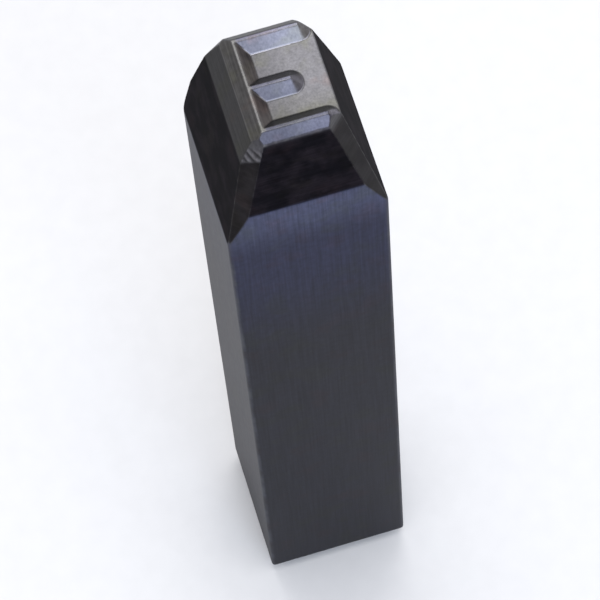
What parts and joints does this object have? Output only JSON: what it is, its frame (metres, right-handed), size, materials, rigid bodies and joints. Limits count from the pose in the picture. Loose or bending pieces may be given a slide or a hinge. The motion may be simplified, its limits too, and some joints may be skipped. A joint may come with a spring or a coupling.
{
  "type": "steel letter punch",
  "caption": "Square steel hand punch with a ground, tapered head that ends in a raised letter, and a flat bevelled end to be struck with a hammer.",
  "frame": {"origin": "middle of the flat struck end, which the punch stands on", "axes": "+Z along the shank, up to the letter; +Y towards the top of the letter; +X to the letter's right, away from its stem"},
  "size_m": [0.0126, 0.0126, 0.078],
  "materials": {
    "black_oxide_steel": "black oxide over ground steel, satin, worn paler on the letter's crests and flanks"
  },
  "bodies": {
    "root": {"letter_punch": "black_oxide_steel"}
  },
  "joints": []
}
